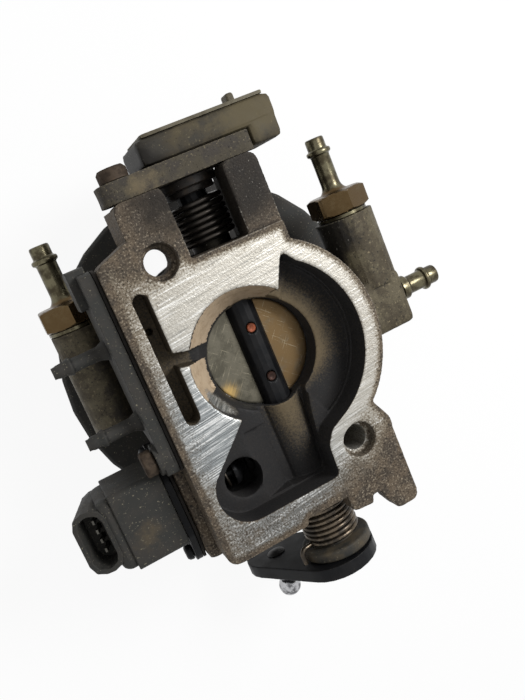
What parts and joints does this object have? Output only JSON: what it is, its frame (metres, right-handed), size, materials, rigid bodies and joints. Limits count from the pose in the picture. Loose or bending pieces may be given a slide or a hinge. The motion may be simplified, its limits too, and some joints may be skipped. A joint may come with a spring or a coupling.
{
  "type": "throttle body",
  "caption": "Central-injection throttle body on its air horn: manifold flange, throttle plate, ball-stud lever, return springs, idle air valve, position sensor and fuel fittings.",
  "frame": {"origin": "centre of the bounding box's base, on the plane of the air horn's rim", "axes": "+Z out of the manifold flange along the bore, +Y along the throttle shaft towards the position sensor, +X towards the fuel return fitting"},
  "size_m": [0.1844, 0.2056, 0.078],
  "materials": {
    "cast_aluminium": "cast, machined flange face",
    "tan_casting": "cast, stained",
    "black_plastic": "moulded, dusty",
    "black_steel": "blackened",
    "plated_steel": "zinc plated, worn",
    "rusty_steel": "rusted",
    "bright_steel": "polished",
    "brass_plate": "satin",
    "copper_screw": "satin",
    "spring_steel": "oiled",
    "gasket_paper": "fibre sheet",
    "tin_terminal": "tin plated"
  },
  "bodies": {
    "housing": {"throttle_casting": "cast_aluminium", "sensor_bracket": "cast_aluminium", "fuel_meter_body": "tan_casting", "air_horn": "black_plastic", "idle_motor_can": "black_plastic", "idle_connector": "black_plastic", "vacuum_block": "black_plastic", "sensor_housing": "black_plastic", "sensor_cover": "black_plastic", "injector_seal": "black_plastic", "body_gasket": "gasket_paper", "vacuum_gasket": "gasket_paper", "idle_gasket": "gasket_paper", "idle_flange": "black_steel", "vacuum_bolt": "rusty_steel", "sensor_screw_1": "rusty_steel", "sensor_screw_2": "rusty_steel", "lever_return_spring": "spring_steel", "sensor_return_spring": "spring_steel", "idle_pintle_spring": "spring_steel", "inlet_fitting": "plated_steel", "inlet_fitting_washer": "plated_steel", "return_fitting": "plated_steel", "return_fitting_washer": "plated_steel", "side_nipple": "plated_steel", "injector": "plated_steel", "injector_clamp": "plated_steel", "clamp_screw_1": "plated_steel", "clamp_screw_2": "plated_steel", "regulator_cover": "plated_steel", "regulator_screw_1": "plated_steel", "regulator_screw_2": "plated_steel", "regulator_screw_3": "plated_steel", "body_screw_1": "plated_steel", "body_screw_2": "plated_steel", "body_screw_3": "plated_steel", "horn_screw_1": "plated_steel", "horn_screw_2": "plated_steel", "horn_screw_3": "plated_steel", "idle_screw_1": "plated_steel", "idle_screw_2": "plated_steel", "lower_shaft_bush": "plated_steel", "upper_shaft_bush": "plated_steel", "idle_terminal_1": "tin_terminal", "idle_terminal_2": "tin_terminal", "idle_terminal_3": "tin_terminal", "idle_terminal_4": "tin_terminal"},
    "throttle": {"throttle_shaft": "black_steel", "throttle_plate": "brass_plate", "plate_screw_1": "copper_screw", "plate_screw_2": "copper_screw", "spring_collar": "black_plastic", "throttle_lever": "black_steel", "ball_stud": "bright_steel", "lever_nut": "plated_steel", "sensor_rotor": "black_plastic", "sensor_spring_collar": "rusty_steel"},
    "idle_valve_pintle": {"idle_pintle": "plated_steel"}
  },
  "joints": [
    {"name": "throttle_hinge", "type": "hinge", "parent": "housing", "child": "throttle", "pos_m": [-0.0004, 0.0073, 0.054], "axis": [0, -1, 0], "range_deg": [0, 80], "stiffness_Nm_per_rad": 0.4, "springref_deg": -28.65, "deforming": ["lever_return_spring", "sensor_return_spring"]},
    {"name": "pintle_slide", "type": "slide", "parent": "housing", "child": "idle_valve_pintle", "axis": [-1, 0, 0], "range_m": [0, 0.008], "deforming": ["idle_pintle_spring"]}
  ]
}
